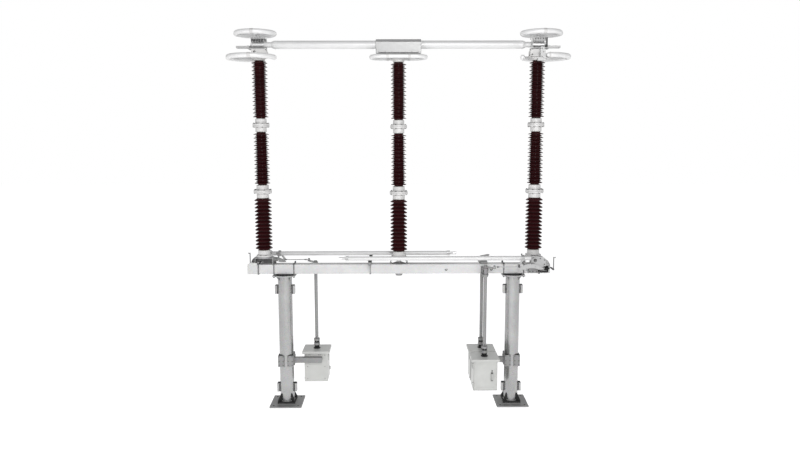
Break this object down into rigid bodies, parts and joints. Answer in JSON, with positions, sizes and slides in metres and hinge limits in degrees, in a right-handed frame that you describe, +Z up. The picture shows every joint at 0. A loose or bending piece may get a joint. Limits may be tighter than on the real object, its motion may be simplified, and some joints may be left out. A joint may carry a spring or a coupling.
{
  "type": "substation disconnect switch",
  "caption": "High-voltage disconnect switch: porcelain columns on a legged box beam, a turning main blade, hinged earthing blades and motor-drive cabinets.",
  "frame": {"origin": "on the ground midway between the two legs, on the axis of the turning centre column", "axes": "+X along the beam to the right, +Y to the rear, +Z up"},
  "size_m": [6.354, 1.048, 7.104],
  "materials": {
    "galvanised": "dull galvanised",
    "dark_steel": "dark weathered",
    "rubber_pad": "matte",
    "beam_paint": "dull galvanised",
    "cabinet_paint": "semi-matte",
    "gear_casting": "painted casting",
    "bright_metal": "satin",
    "fitting_metal": "galvanised casting",
    "porcelain": "dark brown glaze"
  },
  "bodies": {
    "frame": {"base_plates": "galvanised", "base_gussets": "dark_steel", "leg_left": "galvanised", "leg_right": "galvanised", "leg_pads": "rubber_pad", "beam": "beam_paint", "beam_clamps": "dark_steel", "end_cheeks": "galvanised", "arm_clamps": "galvanised", "drive_arms": "galvanised", "cabinet_mounts": "galvanised", "cabinet_left": "cabinet_paint", "cabinet_front": "cabinet_paint", "cabinet_rear": "cabinet_paint", "drive_units": "gear_casting", "shaft_bearings": "galvanised", "centre_bearing": "galvanised", "column_stools": "galvanised", "blade_rest": "galvanised", "blade_rest_pads": "rubber_pad", "earth_brackets": "galvanised", "balance_springs": "dark_steel", "spring_guards": "bright_metal", "indicator_rods": "galvanised", "porcelain_left": "porcelain", "porcelain_right": "porcelain", "fittings_left": "fitting_metal", "fittings_right": "fitting_metal", "contact_bases": "bright_metal", "contact_boxes": "bright_metal", "contact_fingers": "bright_metal", "contact_stops": "dark_steel", "top_rings": "bright_metal", "grading_ring_left": "bright_metal", "grading_ring_right": "bright_metal", "terminals": "bright_metal", "earth_contacts": "bright_metal"},
    "rotor": {"rotor_base": "bright_metal", "porcelain_centre": "porcelain", "fittings_centre": "fitting_metal", "rotor_head": "bright_metal", "blade_hood": "bright_metal", "main_blade": "bright_metal", "blade_tips": "bright_metal", "centre_ring": "bright_metal"},
    "shaft_main": {"shaft_main": "galvanised"},
    "shaft_front": {"shaft_front": "galvanised"},
    "shaft_left": {"shaft_left": "galvanised"},
    "main_link": {"main_link": "galvanised"},
    "earth_link_right": {"earth_link_right": "bright_metal"},
    "earth_link_left": {"earth_link_left": "bright_metal"},
    "earth_blade_right": {"earth_tube_right": "bright_metal", "earth_root_right": "bright_metal"},
    "earth_blade_left": {"earth_tube_left": "bright_metal", "earth_root_left": "bright_metal"},
    "door_front": {"door_front": "cabinet_paint"},
    "door_left": {"door_left": "cabinet_paint"},
    "door_rear": {"door_rear": "cabinet_paint"}
  },
  "joints": [
    {"name": "main_turn", "type": "hinge", "parent": "frame", "child": "rotor", "pos_m": [0, 0, 2.9], "axis": [0, 0, 1], "range_deg": [0, 70]},
    {"name": "shaft_main_turn", "type": "hinge", "parent": "frame", "child": "shaft_main", "pos_m": [1.628, 0.275, 2], "axis": [0, 0, 1], "range_deg": [0, 70]},
    {"name": "main_link_pivot", "type": "hinge", "parent": "shaft_main", "child": "main_link", "pos_m": [1.76566, 0.4716, 2.808], "axis": [0, 0, 1], "range_deg": [-70, 0]},
    {"name": "earth_right_turn", "type": "hinge", "parent": "frame", "child": "earth_blade_right", "pos_m": [2.535, -0.3, 2.89], "axis": [0, 1, 0], "range_deg": [0, 90]},
    {"name": "earth_left_turn", "type": "hinge", "parent": "frame", "child": "earth_blade_left", "pos_m": [-2.535, 0.3, 2.89], "axis": [0, -1, 0], "range_deg": [0, 90]},
    {"name": "shaft_front_turn", "type": "hinge", "parent": "frame", "child": "shaft_front", "pos_m": [1.628, -0.275, 2], "axis": [0, 0, 1], "range_deg": [-90, 0]},
    {"name": "shaft_left_turn", "type": "hinge", "parent": "frame", "child": "shaft_left", "pos_m": [-1.628, 0.275, 2], "axis": [0, 0, 1], "range_deg": [-90, 0]},
    {"name": "earth_link_right_pivot", "type": "hinge", "parent": "shaft_front", "child": "earth_link_right", "pos_m": [1.77508, -0.42208, 2.77], "axis": [0, 0, 1], "range_deg": [0, 90]},
    {"name": "earth_link_left_pivot", "type": "hinge", "parent": "shaft_left", "child": "earth_link_left", "pos_m": [-1.77508, 0.42208, 2.77], "axis": [0, 0, 1], "range_deg": [0, 90]},
    {"name": "door_front_hinge", "type": "hinge", "parent": "frame", "child": "door_front", "pos_m": [1.393, -0.481, 0.7], "axis": [0, 0, -1], "range_deg": [0, 110]},
    {"name": "door_rear_hinge", "type": "hinge", "parent": "frame", "child": "door_rear", "pos_m": [1.863, 0.481, 0.7], "axis": [0, 0, -1], "range_deg": [0, 110]},
    {"name": "door_left_hinge", "type": "hinge", "parent": "frame", "child": "door_left", "pos_m": [-1.393, 0.481, 0.7], "axis": [0, 0, -1], "range_deg": [0, 110]}
  ],
  "couplings": [
    {"joint": "shaft_main_turn", "follows": "main_turn", "ratio": 1},
    {"joint": "main_link_pivot", "follows": "main_turn", "ratio": -1},
    {"joint": "shaft_front_turn", "follows": "earth_right_turn", "ratio": -1},
    {"joint": "earth_link_right_pivot", "follows": "earth_right_turn", "ratio": 1},
    {"joint": "shaft_left_turn", "follows": "earth_left_turn", "ratio": -1},
    {"joint": "earth_link_left_pivot", "follows": "earth_left_turn", "ratio": 1}
  ]
}
